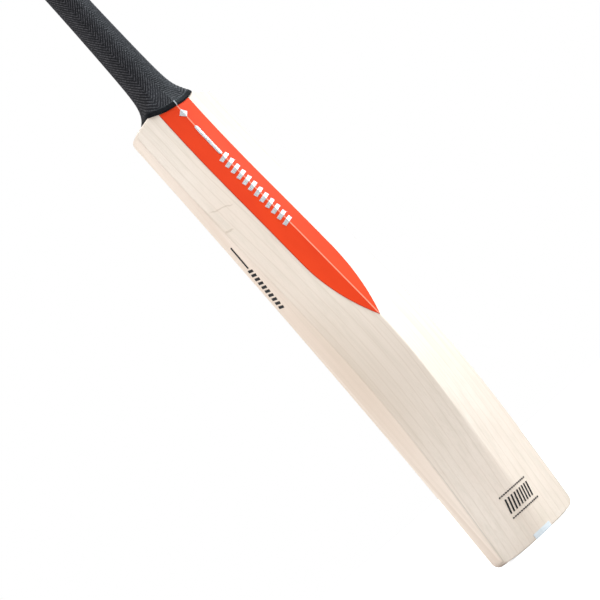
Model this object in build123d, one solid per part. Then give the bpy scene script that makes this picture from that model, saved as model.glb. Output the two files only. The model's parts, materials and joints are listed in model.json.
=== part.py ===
"""Cricket bat: a willow blade on a laminated cane handle with rubber springs, a twine
binding, a rubber grip, and the film labels on the blade.

Millimetres. +Z runs from the toe to the handle, +Y points out of the striking face, -Y out of
the back with its spine, and the origin is the middle of the flat on the toe."""
from build123d import *
import os
from math import atan, cos, pi, sin

# ---------------------------------------------------------------- blade
BLADE_LENGTH = 560.0
HALF_WIDTH = 54.0
SHOULDER_HALF_WIDTH = 52.1
STRAIGHT_SIDE_TOP = 200.0      # the two sides are parallel up to here, then draw in a little
FACE_BOW = 7.2                 # depth of the lengthwise hollow in the striking face
TOE_DEPTH = 28.5
FACE_AT_ENDS = TOE_DEPTH / 2   # Y of the face at the toe and at the shoulders
# Height up the blade, thickness at the edge, thickness at the spine, radius of the spine's ridge
BLADE_STATIONS = (
    (-20.0, 17.0, 25.5, 80.0),
    (0.0, 19.5, 28.5, 60.0),
    (80.0, 29.0, 40.0, 14.0),
    (160.0, 36.5, 51.0, 4.0),
    (240.0, 37.5, 56.0, 3.0),
    (320.0, 32.0, 49.5, 3.0),
    (400.0, 25.0, 42.0, 3.0),
    (480.0, 19.5, 34.5, 3.0),
    (560.0, 18.0, 33.0, 3.0),
    (600.0, 17.5, 33.0, 3.0),
)
STOCK_HALF_WIDTH = 62.0        # the blade's sections are this wide before the sides are cut
STOCK_HALF_DEPTH = 90.0
TOE_FLAT_HALF_WIDTH = 15.0
TOE_RISE = 2.8                 # how far the toe curves up before its corners are rounded
TOE_CORNER_RADIUS = 8.5
SHOULDER_CORNER_RADIUS = 8.0
SHOULDER_SLOPE = 0.33
PEAK_RADIUS = 40.0             # where the two shoulders would meet, inside the handle
BODY_TOP = 8.0                 # the blade is cut off this far up the handle, under the grip
FACE_ARRIS_RADIUS = 3.0
BACK_ARRIS_RADIUS = 1.5

# ---------------------------------------------------------------- handle
HANDLE_LENGTH = 290.0
HANDLE_Y = 0.4                 # Y of the handle's axis at the shoulders
HANDLE_LEAN = 2.2              # degrees, towards the striking face
GRIP_WALL = 1.8
TWINE_WALL = 1.3
ROUND_RADIUS = 17.5            # the upper grip is a true cylinder
ROUND_START = 180.0            # heights along the handle's axis, from the shoulders
WILLOW_TOP = 52.0              # the blade's cheeks run up the handle to here
TWINE_TOP = 286.0
GRIP_TOP = 288.0
HANDLE_END_FILLET = 1.5
# Outside of the grip, as it swells and then flares down to the shoulders
GRIP_BOTTOM = -7.0
SWELL = 5.0
SWELL_POWER = 1.5
FLARE = 12.3
FLARE_LENGTH = 14.0
FRONT_FLATTENING = 1.7         # the grip is this much shallower in front at the shoulders
BACK_DEEPENING = 3.5           # and this much deeper behind, over the spine
RIDGE_SLOPE = 0.28             # slope of the two rear flats at the shoulders
ELLIPSE_SQUARENESS = 2.0
LIP_SQUARENESS = 9.0
FLARE_STEP = 3.0               # spacing of the handle's sections, close together in the flare
FLARE_STEPS = 12
SHAFT_STEPS = 9
SECTION_POINTS = 40
LIP_MIDDLE = 559.6             # Z of the lip's lower rim on the centre line
LIP_RADIUS = 74.0              # the rim is an arc of this radius, seen from behind

# ---------------------------------------------------------------- splice and cane
SPLICE_TIP = 420.0
SPLICE_TIP_HALF_WIDTH = 1.0
SPLICE_HALF_WIDTH = 20.0       # at the shoulders
SPLICE_TOP = 606.0
SPLICE_TOP_HALF_WIDTH = 15.0   # narrower than the bare handle there
SPRING_THICKNESS = 1.2
SPRING_PITCH = 9.0
CANE_ROW_HALF_DEPTH = 5.0      # the middle row of cane, in front of and behind the axis
CORE_BOTTOM = -12.0            # heights along the handle's axis
CHEEK_BOTTOM = -1.0
CANE_BOTTOM = -160.0
CANE_TOP = HANDLE_LENGTH + 10.0

# ---------------------------------------------------------------- labels
FILM = 0.35
LABEL_HALF_WIDTH = 20.3
LABEL_TAPER_START = 350.0
LABEL_TIP = 262.0
LABEL_TOP = 566.0              # tucked up to the grip's rim
BAR_SLANT = 18.0
DIAMOND_HEIGHT = 549.0
DIAMOND_SIDE = 7.5
LONG_BAR_MIDDLE = 511.0
LONG_BAR_LENGTH = 40.0
LONG_BAR_WIDTH = 4.0
FOIL_ROW_START = 394.0
FOIL_ROW_PITCH = 8.4
FOIL_ROW_COUNT = 12
FOIL_BAR_WIDTH = 4.4
FOIL_BAR_LENGTH = 13.0
TOE_DASH_COUNT = 14
TOE_DASH_PITCH = 2.8
TOE_DASH_WIDTH = 1.8
TOE_DASH_HEIGHT = 1.4
TOE_RULE_HEIGHTS = (30.0, 53.0)
TOE_BAR_COUNT = 9
TOE_BAR_PITCH = 4.0
TOE_BAR_WIDTH = 1.7
TOE_BAR_HEIGHT = 14.5
TOE_BAR_SLANT = 12.0
EDGE_MARK_Y = -5.0
EDGE_BAR_MIDDLE = 396.0
EDGE_BAR_LENGTH = 27.0
EDGE_BAR_WIDTH = 2.4
EDGE_ROW_START = 332.0
EDGE_ROW_PITCH = 5.2
EDGE_ROW_COUNT = 10
EDGE_TICK_WIDTH = 2.9
EDGE_TICK_LENGTH = 9.0
STICKER_WIDTH = 24.0
STICKER_HEIGHT = 5.5


def face_y(height):
    """Y of the striking face, which is hollowed lengthwise."""
    along = height / BLADE_LENGTH
    return FACE_AT_ENDS - 4 * FACE_BOW * along * (1 - along)


def blade_section(height, edge, spine, ridge_radius, skin):
    """Closed section of the blade's stock; skin raises the two rear flats."""
    slope = (spine - edge) / HALF_WIDTH
    tilt = atan(slope)
    front = face_y(height)
    apex = front - spine - skin / cos(tilt)
    ridge_half = ridge_radius * sin(tilt)
    ridge_side = apex + slope * ridge_half
    ridge_top = apex + ridge_radius * (1 / cos(tilt) - 1)
    side = apex + slope * STOCK_HALF_WIDTH
    left_front = (-STOCK_HALF_WIDTH, front, height)
    right_front = (STOCK_HALF_WIDTH, front, height)
    left_back = (-STOCK_HALF_WIDTH, side, height)
    right_back = (STOCK_HALF_WIDTH, side, height)
    left_ridge = (-ridge_half, ridge_side, height)
    right_ridge = (ridge_half, ridge_side, height)
    return Wire([
        Edge.make_line(left_front, right_front),
        Edge.make_line(right_front, right_back),
        Edge.make_line(right_back, right_ridge),
        Edge.make_three_point_arc(right_ridge, (0, ridge_top, height), left_ridge),
        Edge.make_line(left_ridge, left_back),
        Edge.make_line(left_back, left_front),
    ])


def blade_outline(skin):
    """The blade seen from behind: toe, sides and sloping shoulders, with rounded corners."""
    half = HALF_WIDTH + skin
    flat = Line((0, -skin), (TOE_FLAT_HALF_WIDTH, -skin))
    toe = TangentArc(flat @ 1, (half, TOE_RISE - skin), tangent=flat % 1)
    side = Line(toe @ 1, (half, STRAIGHT_SIDE_TOP))
    waist = TangentArc(side @ 1, (SHOULDER_HALF_WIDTH + skin, BLADE_LENGTH), tangent=side % 1)
    peak = BLADE_LENGTH + SHOULDER_SLOPE * SHOULDER_HALF_WIDTH
    shoulder = Line(waist @ 1, (0, peak))
    right = Curve() + [flat, toe, side, waist, shoulder]
    face = make_face(right + mirror(right, about=Plane.YZ))
    toe_corners = face.vertices().filter_by(lambda v: abs(v.X) > half - 1 and v.Y < STRAIGHT_SIDE_TOP / 2)
    face = fillet(toe_corners, TOE_CORNER_RADIUS + skin)
    shoulder_corners = face.vertices().filter_by(
        lambda v: abs(v.X) > SHOULDER_HALF_WIDTH - 1 and v.Y > BLADE_LENGTH - 1
    )
    face = fillet(shoulder_corners, SHOULDER_CORNER_RADIUS + skin)
    return fillet(face.vertices().sort_by(Axis.Y)[-1:], PEAK_RADIUS)


def rim_edges(body, side):
    """The edges round the striking face, for a side of 1, or round the back, for -1."""
    return ShapeList(
        edge
        for face in body.faces()
        if abs(face.normal_at().Y) < 0.02
        for edge in face.edges()
        if abs(edge.tangent_at(0.5).Y) < 0.5
        and side * (edge.center().Y - face_y(edge.center().Z) + FACE_BOW) > 0
    )


def blade_body(skin=0.0):
    """The blade below the handle, grown by skin on its back, edges and toe."""
    stock = Solid.make_loft([blade_section(*station, skin) for station in BLADE_STATIONS])
    prism = extrude(Plane.XZ * blade_outline(skin), STOCK_HALF_DEPTH, both=True)
    body = stock & prism
    body = fillet(rim_edges(body, -1), BACK_ARRIS_RADIUS)
    return fillet(rim_edges(body, 1), FACE_ARRIS_RADIUS)


HANDLE_FRAME = Plane(
    origin=(0, HANDLE_Y, BLADE_LENGTH),
    x_dir=(1, 0, 0),
    z_dir=(0, sin(HANDLE_LEAN * pi / 180), cos(HANDLE_LEAN * pi / 180)),
)


def handle_section(rise, inset):
    """Closed section of the handle: an ellipse above, the blade's five sides at the shoulders."""
    share = 1 - max(rise, 0) / ROUND_START
    swell = SWELL * share**SWELL_POWER
    flare = share / (1 + (max(rise, 0) / FLARE_LENGTH) ** 3)
    half_width = ROUND_RADIUS + swell + FLARE * flare - inset
    front = ROUND_RADIUS - FRONT_FLATTENING * share - inset
    back = ROUND_RADIUS + BACK_DEEPENING * flare - inset
    squareness = ELLIPSE_SQUARENESS + (LIP_SQUARENESS - ELLIPSE_SQUARENESS) * flare
    points = []
    for step in range(SECTION_POINTS):
        angle = 2 * pi * step / SECTION_POINTS
        across = abs(cos(angle)) / half_width
        if sin(angle) > 0:
            along = sin(angle) / front
        else:
            along = (-sin(angle) + abs(cos(angle)) * RIDGE_SLOPE * flare) / back
        radius = (across**squareness + along**squareness) ** (-1 / squareness)
        points.append((radius * cos(angle), radius * sin(angle), rise))
    return Wire([Edge.make_spline(points, periodic=True)])


def handle_shape(inset, bottom, top):
    """The flared and oval handle, then a true cylinder up to top; inset shrinks the section."""
    shaft_start = FLARE_STEP * FLARE_STEPS
    shaft_step = (ROUND_START - shaft_start) / SHAFT_STEPS
    rises = [FLARE_STEP * number for number in range(FLARE_STEPS)]
    rises += [shaft_start + shaft_step * number for number in range(SHAFT_STEPS)]
    wires = [handle_section(rise, inset) for rise in [bottom] + rises if rise >= bottom]
    wires.append(Wire([Edge.make_circle(ROUND_RADIUS - inset, Plane.XY.offset(ROUND_START))]))
    flared = Solid.make_loft(wires, ruled=True)
    shaft = Pos(0, 0, ROUND_START) * extrude(Circle(ROUND_RADIUS - inset), top - ROUND_START)
    return HANDLE_FRAME.location * flared, HANDLE_FRAME.location * shaft


def handle_box(low, high):
    """A box between two corners in the handle's own frame."""
    size = [top - bottom for bottom, top in zip(low, high)]
    return HANDLE_FRAME.location * Pos(*low) * Box(*size, align=(Align.MIN, Align.MIN, Align.MIN))


def handle_slice(bottom, top):
    """Everything between two heights along the handle's axis."""
    reach = STOCK_HALF_DEPTH
    return handle_box((-reach, -reach, bottom), (reach, reach, top))


def cane_core():
    """The bare handle: oval at the shoulders, round above, eased at its top end."""
    inset = GRIP_WALL + TWINE_WALL
    flared, shaft = handle_shape(inset, WILLOW_TOP, HANDLE_LENGTH)
    shaft = fillet(shaft.edges().sort_by(Axis.Z)[-1:], HANDLE_END_FILLET)
    foot = extrude(Face(handle_section(WILLOW_TOP, inset)), CORE_BOTTOM - WILLOW_TOP)
    return flared + shaft + HANDLE_FRAME.location * foot


def splice_wedge():
    """The V cut through the blade for the splice, seen from behind."""
    side = [
        (SPLICE_TIP_HALF_WIDTH, SPLICE_TIP),
        (SPLICE_HALF_WIDTH, BLADE_LENGTH),
        (SPLICE_TOP_HALF_WIDTH, SPLICE_TOP),
    ]
    outline = side + [(-x, z) for x, z in reversed(side)]
    return extrude(Plane.XZ * make_face(Polyline(*outline, close=True)), STOCK_HALF_DEPTH, both=True)


def lip_trim():
    """What is cut off the bottom of the grip, so that its rim dips on the face and the back."""
    centre = LIP_MIDDLE + LIP_RADIUS
    block = Pos(0, 0, centre - LIP_RADIUS) * Box(
        2 * LIP_RADIUS, 2 * STOCK_HALF_DEPTH, 2 * LIP_RADIUS
    )
    disc = Plane.XZ * Pos(0, centre) * Circle(LIP_RADIUS)
    return block - extrude(disc, STOCK_HALF_DEPTH, both=True)


def rear_prism(sketch):
    """A prism from the blade's middle plane out through its back."""
    return extrude(Plane.XZ * sketch, STOCK_HALF_DEPTH)


def side_prism(sketch):
    """A prism from the blade's middle plane out through its left edge; sketch is in Y and Z."""
    return extrude(Plane.YZ * sketch, -STOCK_HALF_DEPTH)


def slanted_bars(centre, first, pitch, count, width, length):
    """A row of plain slanted bars along the blade; first is the height of the lowest one."""
    row = []
    for number in range(count):
        place = Pos(centre, first + number * pitch)
        row.append(place * Rot(0, 0, BAR_SLANT) * Rectangle(length, width))
    return Sketch() + row


def spine_label_outline():
    """The label's leaf shape: parallel sides that close to a point down the ridge."""
    top = (LABEL_HALF_WIDTH, LABEL_TOP)
    side = Line(top, (LABEL_HALF_WIDTH, LABEL_TAPER_START))
    taper = TangentArc(side @ 1, (0, LABEL_TIP), tangent=side % 1)
    right = Curve() + [Line((0, LABEL_TOP), top), side, taper]
    return make_face(right + mirror(right, about=Plane.YZ))


def foil_outline():
    """Plain foil marks along the ridge: a small diamond, a long bar and a row of bars."""
    diamond = Pos(0, DIAMOND_HEIGHT) * Rot(0, 0, 45) * Rectangle(DIAMOND_SIDE, DIAMOND_SIDE)
    bar = Pos(0, LONG_BAR_MIDDLE) * SlotOverall(LONG_BAR_LENGTH, LONG_BAR_WIDTH, rotation=90)
    row = slanted_bars(0, FOIL_ROW_START, FOIL_ROW_PITCH, FOIL_ROW_COUNT, FOIL_BAR_WIDTH, FOIL_BAR_LENGTH)
    return row + [diamond, bar]


def toe_mark_outline():
    """A plain mark on the ridge by the toe: a row of tall bars between two broken rules."""
    dash_start = -TOE_DASH_PITCH * (TOE_DASH_COUNT - 1) / 2
    rules = [
        Pos(dash_start + number * TOE_DASH_PITCH, height)
        * Rectangle(TOE_DASH_WIDTH, TOE_DASH_HEIGHT)
        for height in TOE_RULE_HEIGHTS
        for number in range(TOE_DASH_COUNT)
    ]
    middle = sum(TOE_RULE_HEIGHTS) / 2
    first = -TOE_BAR_PITCH * (TOE_BAR_COUNT - 1) / 2
    bars = [
        Pos(first + number * TOE_BAR_PITCH, middle)
        * Rot(0, 0, -TOE_BAR_SLANT)
        * Rectangle(TOE_BAR_WIDTH, TOE_BAR_HEIGHT)
        for number in range(TOE_BAR_COUNT)
    ]
    return Sketch() + rules + bars


def edge_mark_outline():
    """A plain mark on the left edge: a thin bar, then a row of short slanted bars."""
    bar = Pos(EDGE_MARK_Y, EDGE_BAR_MIDDLE) * Rectangle(EDGE_BAR_WIDTH, EDGE_BAR_LENGTH)
    row = slanted_bars(
        EDGE_MARK_Y, EDGE_ROW_START, EDGE_ROW_PITCH, EDGE_ROW_COUNT, EDGE_TICK_WIDTH, EDGE_TICK_LENGTH
    )
    return row + [bar]


def export(node, shape):
    """Write one piece to its own file."""
    export_step(shape, f"parts/{node}.step")


def main():
    os.makedirs("parts", exist_ok=True)

    # The blade with its cheeks, the cane that fills the splice, and the grip round both
    body = blade_body() - handle_slice(BODY_TOP, HANDLE_LENGTH)
    under_grip = Part() + handle_shape(GRIP_WALL, GRIP_BOTTOM, TWINE_TOP)
    envelope = body + (under_grip & handle_slice(CHEEK_BOTTOM, WILLOW_TOP))
    core = cane_core()
    wedge = splice_wedge()
    cane = (wedge & envelope) + core
    blade = envelope - wedge - core
    twine = (under_grip & handle_slice(WILLOW_TOP, TWINE_TOP)) - core
    outer = Part() + handle_shape(0, GRIP_BOTTOM, GRIP_TOP) - lip_trim()
    grip = outer - under_grip - core - body
    export("willow_blade", blade)
    export("handle_twine", twine)
    export("rubber_grip", grip)

    # Cane strips, three deep, in the four columns that the springs part
    depth_limits = (-STOCK_HALF_DEPTH, -CANE_ROW_HALF_DEPTH, CANE_ROW_HALF_DEPTH, STOCK_HALF_DEPTH)
    half_spring = SPRING_THICKNESS / 2
    columns = {
        "left_outer": (-STOCK_HALF_WIDTH, -SPRING_PITCH - half_spring),
        "left_inner": (-SPRING_PITCH + half_spring, -half_spring),
        "right_inner": (half_spring, SPRING_PITCH - half_spring),
        "right_outer": (SPRING_PITCH + half_spring, STOCK_HALF_WIDTH),
    }
    for column, (left, right) in columns.items():
        for row, low, high in zip(("rear", "middle", "face"), depth_limits, depth_limits[1:]):
            strip = cane & handle_box((left, low, CANE_BOTTOM), (right, high, CANE_TOP))
            export(f"cane_strip_{column}_{row}", strip)
    for name, centre in (("left", -SPRING_PITCH), ("centre", 0), ("right", SPRING_PITCH)):
        spring = cane & handle_box(
            (centre - half_spring, -STOCK_HALF_DEPTH, CANE_BOTTOM),
            (centre + half_spring, STOCK_HALF_DEPTH, CANE_TOP),
        )
        export(f"rubber_spring_{name}", spring)

    # Films on the blade: each is cut from a layer between two grown copies of the blade
    grown = blade_body(FILM)
    twice_grown = blade_body(2 * FILM)
    sticker = Pos(0, STICKER_HEIGHT / 2) * Rectangle(STICKER_WIDTH, STICKER_HEIGHT)
    export("spine_label", (grown & rear_prism(spine_label_outline())) - body - outer)
    export("spine_label_foil", (twice_grown & rear_prism(foil_outline())) - grown)
    export("toe_mark", (grown & rear_prism(toe_mark_outline())) - body)
    export("edge_mark", (grown & side_prism(edge_mark_outline())) - body)
    export("toe_sticker", (grown & rear_prism(sticker)) - body)


if __name__ == "__main__":
    main()
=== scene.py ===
import json
import math

import bpy
import numpy as np
from mathutils import Matrix, Vector


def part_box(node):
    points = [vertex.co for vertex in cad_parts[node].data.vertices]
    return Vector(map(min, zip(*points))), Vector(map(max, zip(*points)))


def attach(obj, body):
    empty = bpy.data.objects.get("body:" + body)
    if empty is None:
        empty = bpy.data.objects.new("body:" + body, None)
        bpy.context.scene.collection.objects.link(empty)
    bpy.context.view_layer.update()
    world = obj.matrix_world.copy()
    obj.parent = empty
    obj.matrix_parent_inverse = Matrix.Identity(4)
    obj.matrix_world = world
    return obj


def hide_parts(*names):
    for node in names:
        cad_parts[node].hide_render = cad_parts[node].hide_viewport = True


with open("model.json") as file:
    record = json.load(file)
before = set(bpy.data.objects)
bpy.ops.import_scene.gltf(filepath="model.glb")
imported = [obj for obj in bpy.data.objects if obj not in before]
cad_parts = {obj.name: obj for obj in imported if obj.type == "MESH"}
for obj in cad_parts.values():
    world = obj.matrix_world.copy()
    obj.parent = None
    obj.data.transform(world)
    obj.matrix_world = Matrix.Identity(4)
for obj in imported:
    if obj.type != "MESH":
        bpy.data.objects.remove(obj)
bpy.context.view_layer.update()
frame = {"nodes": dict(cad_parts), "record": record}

MM = 0.001

# ---------------------------------------------------------------- grip, as the CAD shapes it
SHOULDERS_TO_GRIP_TOP = 0.288
ROUND_START = 0.180            # the grip is a true cylinder above this, from the shoulders
SWELL = 0.005
SWELL_POWER = 1.5
FLARE = 0.0123
FLARE_LENGTH = 0.014
FRONT_FLATTENING = 0.0017
BACK_DEEPENING = 0.0035
RIDGE_SLOPE = 0.28
ELLIPSE_SQUARENESS = 2.0
LIP_SQUARENESS = 9.0
LIP_MIDDLE = 0.5596
LIP_RADIUS = 0.074
GRIP_WALL = 0.0018
# Detail moulded into the grip, all of it cut inwards from the CAD surface
CLEARANCE = 0.00006
LIP_BAND = 0.0052
TOP_BAND = 0.004
BAND_STEP = 0.0003
BAND_BLEND = 0.0012
RIM_ROUNDING = 0.0007
RIB_PITCH = 0.0040
RIB_DEPTH = 0.00048
CHEVRONS = 4                   # pairs of slanted columns round the handle
CHEVRON_RISE = 0.0195
AROUND = 192
OUTER_ROWS = 480
INNER_ROWS = 24
RIM_STEPS = 60

# ---------------------------------------------------------------- camera and light
CAMERA_PLACE = (-0.90202, -1.43275, 0.09461)
CAMERA_AZIMUTH = 31.350        # degrees from +Y towards +X
CAMERA_ELEVATION = 7.902
CAMERA_ROLL = 40.918           # degrees, so that the handle points up to the left
CAMERA_LENS = 102.44           # millimetres, on a 36 mm sensor
FLOOR_SIZE = 60.0
FLOOR_LIFT = 0.80              # glow that only the camera sees
WORLD_LIGHT = 0.53
SUNS = (
    ("key_from_the_right", (0.62, -0.33, 0.71), 4.5, 40, (0.90, 1.03, 1.09)),
    ("fill_from_the_left", (-1.0, 0.30, 0.25), 1.4, 50, (1, 1, 1)),
    ("top_light", (0.0, 0.0, 1.0), 0.3, 60, (1, 1, 1)),
)                              # name, where it shines from, strength, size in degrees, tint

# ---------------------------------------------------------------- marks in the wood and the films
GROWTH_PITCH = 0.0085
GROWTH_WANDER = 0.012
FLECKS = (
    (-0.0385, 0.4455, 0.013, -0.32),
    (-0.0480, 0.4220, 0.005, -0.20),
)                              # x, z, half length and slope of each brown fleck in the willow
FLECK_CORE = 0.0002
FLECK_EDGE = 0.0013
FLECK_RIPPLE = 0.004
# a painted shade, darker low on the left slope of the back
LEFT_SHADE_MIDDLE = 0.220
LEFT_SHADE_HALF_LENGTH = 0.180
LEFT_SHADE_WIDTH = 0.054
TOE_WEAR_HEIGHT = 0.05
ARRIS_X = 0.0526
ARRIS_SHADE_LOW = 0.06           # the painted shade lines on the arrises are full below this, and gone above this
ARRIS_SHADE_HIGH = 0.20          # this
PAINTED_LINE_WIDTH = 0.0008
RIDGE_CORE = 0.0003
LABEL_RIDGE_WIDTH = 0.0010
LABEL_TAPER_START = 0.350
LABEL_BORDER = 0.0007
TWINE_PITCH = 0.0011

MIX_FACTOR, MIX_A, MIX_B, MIX_RESULT = 0, 6, 7, 2


# ---------------------------------------------------------------- shader helpers
def node(tree, kind, inputs=None, **settings):
    """A shader node; inputs maps its sockets to values or to other nodes' outputs."""
    made = tree.nodes.new(kind)
    for name, value in settings.items():
        setattr(made, name, value)
    for name, value in (inputs or {}).items():
        if isinstance(value, bpy.types.NodeSocket):
            tree.links.new(value, made.inputs[name])
        else:
            made.inputs[name].default_value = value
    return made


def place(tree, stretch=(1, 1, 1)):
    """The point on the object, in metres, with each axis scaled."""
    point = node(tree, "ShaderNodeTexCoord").outputs["Object"]
    return node(tree, "ShaderNodeMapping", {"Vector": point, "Scale": stretch}).outputs["Vector"]


def noise(tree, vector, scale, detail=3.0, roughness=0.5):
    """Soft noise from 0 to 1; scale is in cells per metre."""
    inputs = {"Vector": vector, "Scale": scale, "Detail": detail, "Roughness": roughness}
    return node(tree, "ShaderNodeTexNoise", inputs).outputs["Fac"]


def compute(tree, operation, first, second=0.0, third=0.0):
    """One step of arithmetic."""
    inputs = {0: first, 1: second, 2: third}
    return node(tree, "ShaderNodeMath", inputs, operation=operation).outputs[0]


def spread(tree, value, low, high, out_low=0.0, out_high=1.0):
    """value taken from the range low to high to another range, and held inside it."""
    inputs = {
        "Value": value, "From Min": low, "From Max": high, "To Min": out_low, "To Max": out_high,
    }
    made = node(tree, "ShaderNodeMapRange", inputs, interpolation_type="SMOOTHSTEP")
    return made.outputs["Result"]


def mix(tree, share, first, second):
    """Two colours mixed by share."""
    inputs = {MIX_FACTOR: share, MIX_A: first, MIX_B: second}
    return node(tree, "ShaderNodeMix", inputs, data_type="RGBA").outputs[MIX_RESULT]


def tones(tree, value, low, high, first, second):
    """The first colour where value is below low, the second above high, and a mix between."""
    return mix(tree, spread(tree, value, low, high), first, second)


def bump(tree, height, depth):
    """Relief of that depth in metres."""
    inputs = {"Height": height, "Distance": depth, "Strength": 1.0}
    return node(tree, "ShaderNodeBump", inputs).outputs["Normal"]


def material(name, surface):
    """A node material; surface(tree) gives the Principled shader's inputs."""
    made = bpy.data.materials.new(name)
    made.use_nodes = True
    tree = made.node_tree
    tree.nodes.clear()
    shader = node(tree, "ShaderNodeBsdfPrincipled", surface(tree))
    output = node(tree, "ShaderNodeOutputMaterial")
    tree.links.new(shader.outputs["BSDF"], output.inputs["Surface"])
    return made


def colour(red, green, blue):
    """An opaque linear colour."""
    return (red, green, blue, 1.0)


# ---------------------------------------------------------------- materials
def growth_lines(tree, axes):
    """1 along the growth lines, which run up the blade and wander a little."""
    wander = noise(tree, place(tree, (1, 1, 0.12)), 14, 2)
    across = compute(tree, "MULTIPLY_ADD", wander, GROWTH_WANDER, axes.outputs["X"])
    across = compute(tree, "MULTIPLY_ADD", axes.outputs["Y"], 0.18, across)
    turns = compute(tree, "MULTIPLY", across, 2 * math.pi / GROWTH_PITCH)
    return spread(tree, compute(tree, "SINE", turns), 0.80, 1.0)


def brown_flecks(tree, axes):
    """1 on the small brown flecks, which are short, thin and a little rippled."""
    fleck = 0.0
    ripple = noise(tree, place(tree), 160, 2)
    for x, z, half_length, slope in FLECKS:
        along = compute(tree, "SUBTRACT", axes.outputs["X"], x)
        line = compute(tree, "MULTIPLY_ADD", along, slope, z)
        line = compute(tree, "SUBTRACT", line, FLECK_RIPPLE / 2)
        line = compute(tree, "MULTIPLY_ADD", ripple, FLECK_RIPPLE, line)
        gap = compute(tree, "ABSOLUTE", compute(tree, "SUBTRACT", axes.outputs["Z"], line))
        thin = spread(tree, gap, FLECK_CORE, FLECK_EDGE, 1.0, 0.0)
        end = compute(tree, "ABSOLUTE", along)
        short = spread(tree, end, half_length * 0.6, half_length, 1.0, 0.0)
        fleck = compute(tree, "MAXIMUM", compute(tree, "MULTIPLY", thin, short), fleck)
    return fleck


def painted_left_shade(tree, axes, on_back):
    """The strength of a painted shade: a darker band low in the left half of the back, on the slope
    turned away from the key light.
    """
    off_middle = compute(tree, "SUBTRACT", axes.outputs["Z"], LEFT_SHADE_MIDDLE)
    off_middle = compute(tree, "ABSOLUTE", off_middle)
    band = compute(
        tree, "MULTIPLY",
        spread(tree, off_middle, 0.0, LEFT_SHADE_HALF_LENGTH, 0.45, 0.0),
        spread(tree, axes.outputs["X"], -LEFT_SHADE_WIDTH, -0.001, 1.0, 0.5),
    )
    on_left = compute(tree, "LESS_THAN", axes.outputs["X"], 0.0)
    return compute(tree, "MULTIPLY", band, compute(tree, "MULTIPLY", on_back, on_left))


def painted_arris_shade(tree, axes, on_back):
    """Painted shade: how dark a line runs along the two rear arrises, strongest near the toe."""
    side = compute(tree, "ABSOLUTE", axes.outputs["X"])
    off_arris = compute(tree, "ABSOLUTE", compute(tree, "SUBTRACT", side, ARRIS_X))
    # painted shade: a thin dark line on each rear arris
    painted_line = compute(
        tree, "MULTIPLY",
        spread(tree, off_arris, 0.0, PAINTED_LINE_WIDTH, 0.45, 0.0),
        spread(tree, axes.outputs["Z"], ARRIS_SHADE_LOW, ARRIS_SHADE_HIGH, 1.0, 0.0),
    )
    return compute(tree, "MULTIPLY", painted_line, on_back)


def willow(tree):
    """Pale willow: straight growth lines, fine fibres, flecks, soft blotches and a worn toe, with
    painted shade on the left of the back and along the rear arrises.
    """
    axes = node(tree, "ShaderNodeSeparateXYZ", {"Vector": place(tree)})
    on_back = compute(tree, "LESS_THAN", axes.outputs["Y"], 0.0)
    lines = growth_lines(tree, axes)
    fibres = noise(tree, place(tree, (1, 1, 0.012)), 1100, 4, 0.6)
    streaks = noise(tree, place(tree, (1, 1, 0.03)), 170, 3, 0.55)
    blotches = noise(tree, place(tree, (1, 1, 0.3)), 16, 3)
    flecks = compute(tree, "MULTIPLY", brown_flecks(tree, axes), on_back)
    toe = spread(tree, axes.outputs["Z"], 0.0, TOE_WEAR_HEIGHT, 0.22, 0.0)

    pale, cream = colour(0.930, 0.785, 0.680), colour(0.880, 0.722, 0.612)
    wood = tones(tree, blotches, 0.35, 0.68, pale, cream)
    layers = (
        (spread(tree, streaks, 0.40, 0.75, 0.0, 0.5), colour(0.76, 0.64, 0.53)),
        (compute(tree, "MULTIPLY", lines, 0.20), colour(0.66, 0.50, 0.38)),
        (spread(tree, fibres, 0.45, 0.75, 0.0, 0.35), colour(0.76, 0.62, 0.50)),
        (compute(tree, "MULTIPLY", flecks, 0.30), colour(0.42, 0.27, 0.15)),
        # painted shade on the left slope of the back
        (painted_left_shade(tree, axes, on_back), colour(0.66, 0.51, 0.39)),
        (compute(tree, "MULTIPLY", toe, blotches), colour(0.55, 0.47, 0.38)),
        # painted shade: dark lines along the rear arrises near the toe
        (painted_arris_shade(tree, axes, on_back), colour(0.46, 0.38, 0.30)),
    )
    for share, tone in layers:
        wood = mix(tree, share, wood, tone)
    rough = spread(tree, streaks, 0.3, 0.7, 0.52, 0.66)
    relief = compute(tree, "MULTIPLY_ADD", lines, -0.5, fibres)
    return {
        "Base Color": wood, "Roughness": rough, "Normal": bump(tree, relief, 0.00006),
        "Specular IOR Level": 0.35,
    }


def cane(tree):
    """Straw-coloured cane with dense dark pores along it, and strips that differ a little."""
    fibres = noise(tree, place(tree, (1, 1, 0.02)), 1300, 3, 0.6)
    bands = noise(tree, place(tree, (1, 1, 0.05)), 120, 2)
    straw = tones(tree, bands, 0.3, 0.7, colour(0.66, 0.46, 0.25), colour(0.78, 0.60, 0.37))
    pores = spread(tree, fibres, 0.5, 0.72, 0.0, 0.75)
    pored = mix(tree, pores, straw, colour(0.36, 0.21, 0.09))
    rough = spread(tree, fibres, 0.3, 0.7, 0.48, 0.7)
    return {
        "Base Color": pored, "Roughness": rough, "Normal": bump(tree, fibres, 0.00008),
        "Specular IOR Level": 0.3,
    }


def spring_rubber(tree):
    """The thin dark rubber springs between the cane columns."""
    grit = noise(tree, place(tree), 2600, 3)
    dust = noise(tree, place(tree, (1, 1, 0.2)), 220, 2)
    clean, dusty = colour(0.030, 0.026, 0.023), colour(0.085, 0.075, 0.065)
    shade = tones(tree, dust, 0.35, 0.7, clean, dusty)
    rough = spread(tree, grit, 0.3, 0.7, 0.62, 0.82)
    return {"Base Color": shade, "Roughness": rough, "Normal": bump(tree, grit, 0.00005)}


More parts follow.
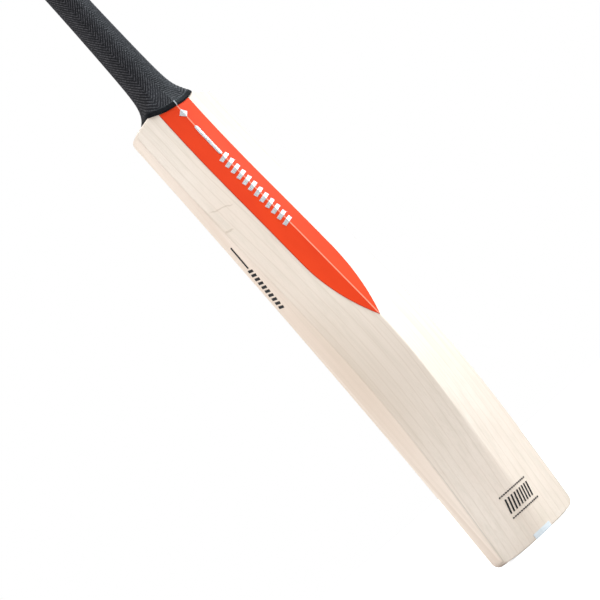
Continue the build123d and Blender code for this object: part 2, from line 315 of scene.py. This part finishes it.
def twine(tree):
    """Waxed twine, wound close round the handle."""
    axes = node(tree, "ShaderNodeSeparateXYZ", {"Vector": place(tree)})
    turns = compute(tree, "MULTIPLY", axes.outputs["Z"], 2 * math.pi / TWINE_PITCH)
    strand = compute(tree, "SINE", turns)
    fuzz = noise(tree, place(tree), 3000, 3)
    thread = tones(tree, strand, -1.0, 1.0, colour(0.24, 0.12, 0.05), colour(0.62, 0.42, 0.22))
    fluff = spread(tree, fuzz, 0.45, 0.75, 0.0, 0.5)
    worn = mix(tree, fluff, thread, colour(0.75, 0.60, 0.40))
    rough = spread(tree, fuzz, 0.3, 0.7, 0.6, 0.85)
    return {"Base Color": worn, "Roughness": rough, "Normal": bump(tree, strand, 0.00025)}


def grip_rubber(tree):
    """Charcoal rubber, dark between the ribs, with a painted highlight of lighter grey along their
    tops, broken into glints.
    """
    rib = node(tree, "ShaderNodeAttribute", attribute_name="rib").outputs["Fac"]
    mottle = noise(tree, place(tree), 90, 3)
    grit = noise(tree, place(tree), 1800, 3, 0.6)
    glint = spread(tree, noise(tree, place(tree), 520, 4, 0.7), 0.40, 0.64, 0.50, 1.0)
    black, charcoal = colour(0.0055, 0.0055, 0.0075), colour(0.011, 0.011, 0.014)
    dark = tones(tree, mottle, 0.35, 0.7, black, charcoal)
    # painted highlight: the rib tops lightened to grey in scattered glints
    rib_top_highlight = spread(tree, compute(tree, "MULTIPLY", rib, glint), 0.2, 1.0)
    shade = mix(tree, rib_top_highlight, dark, colour(0.098, 0.092, 0.100))
    rough = spread(tree, grit, 0.3, 0.7, 0.50, 0.70)
    return {
        "Base Color": shade, "Roughness": rough, "Normal": bump(tree, grit, 0.0001),
        "Specular IOR Level": 0.16,
    }


def grip_lip(tree):
    """The smooth band at the bottom of the grip, with faint handling marks and a painted highlight
    line down the ridge.
    """
    axes = node(tree, "ShaderNodeSeparateXYZ", {"Vector": place(tree)})
    off_ridge = compute(tree, "ABSOLUTE", axes.outputs["X"])
    # painted highlight: a thin pale line down the ridge on the back
    painted_line = compute(
        tree, "MULTIPLY",
        spread(tree, off_ridge, RIDGE_CORE, PAINTED_LINE_WIDTH, 1.0, 0.0),
        compute(tree, "LESS_THAN", axes.outputs["Y"], 0.0),
    )
    smears = noise(tree, place(tree, (1, 1, 2)), 260, 3)
    grit = noise(tree, place(tree), 2200, 2)
    clean, handled = colour(0.0035, 0.004, 0.006), colour(0.008, 0.009, 0.012)
    shade = tones(tree, smears, 0.4, 0.75, clean, handled)
    # the pale grey of the painted ridge highlight
    shade = mix(tree, compute(tree, "MULTIPLY", painted_line, 0.8), shade, colour(0.60, 0.62, 0.65))
    rough = spread(tree, smears, 0.3, 0.7, 0.45, 0.60)
    return {
        "Base Color": shade, "Roughness": rough, "Normal": bump(tree, grit, 0.00002),
        "Specular IOR Level": 0.12,
    }


def red_film(tree):
    """The satin red label: a darker line round its taper, and a painted highlight down the ridge.
    """
    low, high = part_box("spine_label")
    half_width = high[0]
    taper_radius = (half_width**2 + (LABEL_TAPER_START - low[2]) ** 2) / (2 * half_width)
    centre = half_width - taper_radius
    axes = node(tree, "ShaderNodeSeparateXYZ", {"Vector": place(tree)})
    side = compute(tree, "ABSOLUTE", axes.outputs["X"])
    across = compute(tree, "SUBTRACT", side, centre)
    below = compute(tree, "SUBTRACT", axes.outputs["Z"], LABEL_TAPER_START)
    below = compute(tree, "MINIMUM", below, 0.0)
    below_squared = compute(tree, "MULTIPLY", below, below)
    squares = compute(tree, "ADD", compute(tree, "POWER", across, 2.0), below_squared)
    reach = compute(tree, "SQRT", squares)
    border = spread(tree, reach, taper_radius - LABEL_BORDER, taper_radius - LABEL_BORDER / 2)
    drift = noise(tree, place(tree, (1, 1, 0.3)), 40, 3)
    peel = noise(tree, place(tree), 700, 2)
    red = tones(tree, drift, 0.3, 0.7, colour(0.90, 0.060, 0.012), colour(0.84, 0.050, 0.009))
    # painted highlight: a paler line down the ridge
    ridge = spread(tree, side, RIDGE_CORE, LABEL_RIDGE_WIDTH, 0.55, 0.0)
    red = mix(tree, ridge, red, colour(0.98, 0.50, 0.34))
    edged = mix(tree, compute(tree, "MULTIPLY", border, 0.7), red, colour(0.42, 0.022, 0.012))
    rough = spread(tree, drift, 0.3, 0.7, 0.38, 0.48)
    return {
        "Base Color": edged, "Roughness": rough, "Normal": bump(tree, peel, 0.00002),
        "Specular IOR Level": 0.14,
    }


def silver_foil(tree):
    """Brushed silver foil, a little crazed."""
    brushed = noise(tree, place(tree, (1, 1, 0.06)), 1500, 3)
    crazed = noise(tree, place(tree), 420, 4, 0.65)
    shade = tones(tree, crazed, 0.35, 0.7, colour(0.93, 0.93, 0.95), colour(0.70, 0.71, 0.74))
    rough = spread(tree, brushed, 0.3, 0.7, 0.22, 0.40)
    return {
        "Base Color": shade, "Metallic": 0.85, "Roughness": rough,
        "Normal": bump(tree, crazed, 0.00004),
    }


def black_print(tree):
    """Dark ink, thinner where the wood's fibres take less of it."""
    fibres = noise(tree, place(tree, (1, 1, 0.03)), 1400, 3, 0.6)
    thinned = spread(tree, fibres, 0.55, 0.8, 0.0, 0.3)
    ink = mix(tree, thinned, colour(0.010, 0.010, 0.012), colour(0.16, 0.13, 0.11))
    rough = spread(tree, fibres, 0.3, 0.7, 0.42, 0.58)
    return {
        "Base Color": ink, "Roughness": rough, "Normal": bump(tree, fibres, 0.00003),
        "Specular IOR Level": 0.25,
    }


def white_film(tree):
    """A blank white sticker, faintly uneven."""
    drift = noise(tree, place(tree), 300, 3)
    fine = noise(tree, place(tree), 1600, 2)
    white = tones(tree, drift, 0.35, 0.7, colour(0.78, 0.80, 0.83), colour(0.72, 0.74, 0.77))
    rough = spread(tree, fine, 0.3, 0.7, 0.28, 0.40)
    return {"Base Color": white, "Roughness": rough, "Normal": bump(tree, fine, 0.00002)}


def floor_paint(tree):
    """Plain white floor, lifted a little for the camera so that it meets the surroundings."""
    grain = noise(tree, place(tree), 30, 2)
    white = mix(tree, grain, colour(0.50, 0.50, 0.50), colour(0.52, 0.52, 0.52))
    seen = node(tree, "ShaderNodeLightPath").outputs["Is Camera Ray"]
    return {
        "Base Color": white, "Roughness": 0.9, "Specular IOR Level": 0.0,
        "Emission Color": colour(1.0, 1.0, 1.0),
        "Emission Strength": compute(tree, "MULTIPLY", seen, FLOOR_LIFT),
    }


# ---------------------------------------------------------------- the grip's own mesh
def handle_axes():
    """The middle of the handle at the shoulders, its two directions, and the radius of the grip."""
    mount = next(item for item in frame["record"]["mounts"] if item["name"] == "handle_grip")
    up = Vector(mount["axis"]).normalized()
    depth = up.cross(Vector((1, 0, 0)))
    top = Vector(mount["pos_m"]) + up * (mount["dims"]["length_mm"] * MM / 2)
    return top - up * SHOULDERS_TO_GRIP_TOP, up, depth, mount["dims"]["r_mm"] * MM


def section_radius(angle, rise, round_radius):
    """Distance from the handle's axis to the grip's surface, which flares down to the shoulders."""
    height = np.maximum(rise, 0)
    share = np.maximum(1 - height / ROUND_START, 0)
    swell = SWELL * share**SWELL_POWER
    flare = share / (1 + (height / FLARE_LENGTH) ** 3)
    half_width = round_radius + swell + FLARE * flare
    front = round_radius - FRONT_FLATTENING * share
    back = round_radius + BACK_DEEPENING * flare
    squareness = ELLIPSE_SQUARENESS + (LIP_SQUARENESS - ELLIPSE_SQUARENESS) * flare
    sine, cosine = np.sin(angle), np.abs(np.cos(angle))
    along = np.where(sine > 0, sine / front, (np.abs(sine) + cosine * RIDGE_SLOPE * flare) / back)
    return ((cosine / half_width) ** squareness + along**squareness) ** (-1 / squareness)


def smooth_step(value, low, high):
    """0 below low, 1 above high, and a smooth rise between."""
    share = np.clip((value - low) / (high - low), 0, 1)
    return share * share * (3 - 2 * share)


def grip_piece():
    """The rubber grip: a smooth lip, chevron ribs up the handle, and a smooth band at the top."""
    foot, up, depth, round_radius = handle_axes()
    angle = np.linspace(0, 2 * math.pi, AROUND, endpoint=False)

    # The rim is an arc seen from behind, so each column of the mesh starts at its own height
    rim = np.zeros(AROUND)
    for _ in range(RIM_STEPS):
        reach = section_radius(angle, rim, round_radius)
        rim_z = LIP_MIDDLE + LIP_RADIUS - np.sqrt(LIP_RADIUS**2 - (reach * np.cos(angle)) ** 2)
        rim += rim_z - (foot.z + rim * up.z + reach * np.sin(angle) * depth.z)

    def surface(rows, relief):
        """Points from the rim to the top, set in by relief, with each one's rib and height."""
        share = np.linspace(0, 1, rows)[:, None]
        rise = rim + (SHOULDERS_TO_GRIP_TOP - rim) * share
        turned = np.broadcast_to(angle, rise.shape)
        inset, rib = relief(rise, rise - rim, turned)
        reach = section_radius(turned, rise, round_radius) - inset
        points = (
            np.array(foot)
            + rise[..., None] * np.array(up)
            + (reach * np.sin(turned))[..., None] * np.array(depth)
            + (reach * np.cos(turned))[..., None] * np.array((1.0, 0, 0))
        )
        return points.reshape(-1, 3), rib.ravel(), (rise - rim).ravel()

    def moulded(rise, above_rim, turned):
        """The outside: ribs between the two smooth bands, and a rounded rim."""
        below_top = SHOULDERS_TO_GRIP_TOP - rise
        ribbed = smooth_step(above_rim, LIP_BAND, LIP_BAND + BAND_BLEND)
        ribbed = ribbed * smooth_step(below_top, TOP_BAND, TOP_BAND + BAND_BLEND)
        column = turned * CHEVRONS / (2 * math.pi)
        zigzag = np.abs(column - np.floor(column) - 0.5) * 2 * CHEVRON_RISE
        crest = 0.5 + 0.5 * np.cos(2 * math.pi * (rise - zigzag) / RIB_PITCH)
        rounding = RIM_ROUNDING * (1 - smooth_step(above_rim, 0, 2 * RIM_ROUNDING))
        inset = ribbed * (BAND_STEP + RIB_DEPTH * (1 - crest)) + rounding + CLEARANCE
        return inset, ribbed * crest

    def plain(rise, above_rim, turned):
        """The inside, as far in as the wall is thick."""
        return np.full_like(rise, GRIP_WALL), np.zeros_like(rise)

    outer, outer_rib, above_rim = surface(OUTER_ROWS, moulded)
    inner, inner_rib, _ = surface(INNER_ROWS, plain)
    points = np.concatenate([outer, inner])
    column = np.arange(AROUND)
    beside = (column + 1) % AROUND

    def strip(lower, upper):
        """The faces between two rows, given the number of the first point in each."""
        return np.stack([lower + column, lower + beside, upper + beside, upper + column], axis=1)

    inside = len(outer)
    faces = [strip(row * AROUND, (row + 1) * AROUND) for row in range(OUTER_ROWS - 1)]
    faces += [
        strip(inside + (row + 1) * AROUND, inside + row * AROUND) for row in range(INNER_ROWS - 1)
    ]
    faces.append(strip(inside, 0))
    faces.append(strip((OUTER_ROWS - 1) * AROUND, inside + (INNER_ROWS - 1) * AROUND))
    quads = np.concatenate(faces)

    mesh = bpy.data.meshes.new("rubber_grip_ribbed")
    mesh.from_pydata(points.tolist(), [], quads.tolist())
    mesh.polygons.foreach_set("use_smooth", np.ones(len(quads), bool))
    mesh.attributes.new("rib", "FLOAT", "POINT").data.foreach_set(
        "value", np.concatenate([outer_rib, inner_rib]).astype(np.float32)
    )
    heights = np.concatenate([above_rim, np.zeros(len(inner))])
    is_lip = heights[quads].max(axis=1) < LIP_BAND + BAND_BLEND
    mesh.materials.append(material("grip_rubber_ribbed", grip_rubber))
    mesh.materials.append(material("grip_rubber_lip", grip_lip))
    mesh.polygons.foreach_set("material_index", is_lip.astype(np.int32))
    mesh.update()
    piece = bpy.data.objects.new("rubber_grip_ribbed", mesh)
    bpy.context.scene.collection.objects.link(piece)
    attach(piece, "root")
    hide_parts("rubber_grip")


# ---------------------------------------------------------------- the whole scene
def dress_nodes():
    """Gives every CAD node its material."""
    looks = {
        "willow_blade": material("willow_wood", willow),
        "cane_strip": material("cane_wood", cane),
        "rubber_spring": material("spring_rubber_dark", spring_rubber),
        "handle_twine": material("waxed_twine", twine),
        "spine_label_foil": material("silver_foil_brushed", silver_foil),
        "spine_label": material("red_film_gloss", red_film),
        "edge_mark": material("black_print_ink", black_print),
        "toe_mark": material("black_print_ink_toe", black_print),
        "toe_sticker": material("white_film_blank", white_film),
    }
    for name, piece in frame["nodes"].items():
        for start, look in looks.items():
            if name.startswith(start):
                piece.data.materials.clear()
                piece.data.materials.append(look)
                break


def sun(name, source, strength, size, tint):
    """A soft, even light that shines from source."""
    light = bpy.data.lights.new(name, "SUN")
    light.energy = strength
    light.angle = math.radians(size)
    light.color = tint
    lamp = bpy.data.objects.new(name, light)
    lamp.rotation_mode = "QUATERNION"
    lamp.rotation_quaternion = Vector(source).to_track_quat("Z", "Y")
    bpy.context.scene.collection.objects.link(lamp)


def studio():
    """A white floor and surroundings, a broad key light from the right and a fill from the left."""
    bpy.ops.mesh.primitive_plane_add(size=FLOOR_SIZE)
    floor = bpy.context.object
    floor.name = "studio_floor"
    floor.data.materials.append(material("studio_floor_white", floor_paint))

    world = bpy.data.worlds.new("studio_world")
    world.use_nodes = True
    tree = world.node_tree
    tree.nodes.clear()
    lit = node(tree, "ShaderNodeBackground", {"Strength": WORLD_LIGHT})
    seen = node(tree, "ShaderNodeBackground", {"Strength": 1.0})
    for background in (lit, seen):
        background.inputs["Color"].default_value = colour(1.0, 1.0, 1.0)
    path = node(tree, "ShaderNodeLightPath")
    both = node(tree, "ShaderNodeMixShader", {0: path.outputs["Is Camera Ray"]})
    tree.links.new(lit.outputs[0], both.inputs[1])
    tree.links.new(seen.outputs[0], both.inputs[2])
    output = node(tree, "ShaderNodeOutputWorld")
    tree.links.new(both.outputs[0], output.inputs["Surface"])
    bpy.context.scene.world = world

    for settings in SUNS:
        sun(*settings)


def camera():
    """A long lens low in front of the back of the bat, rolled so that the bat lies diagonally."""
    lens = bpy.data.cameras.new("camera")
    lens.lens = CAMERA_LENS
    lens.clip_end = 4 * FLOOR_SIZE
    made = bpy.data.objects.new("camera", lens)
    turn = Matrix.Rotation(-math.radians(CAMERA_AZIMUTH), 4, "Z")
    tilt = Matrix.Rotation(math.radians(90 + CAMERA_ELEVATION), 4, "X")
    roll = Matrix.Rotation(-math.radians(CAMERA_ROLL), 4, "Z")
    made.matrix_world = Matrix.Translation(CAMERA_PLACE) @ turn @ tilt @ roll
    bpy.context.scene.collection.objects.link(made)
    bpy.context.scene.camera = made


dress_nodes()
grip_piece()
studio()
camera()
bpy.context.scene.view_settings.view_transform = "Standard"
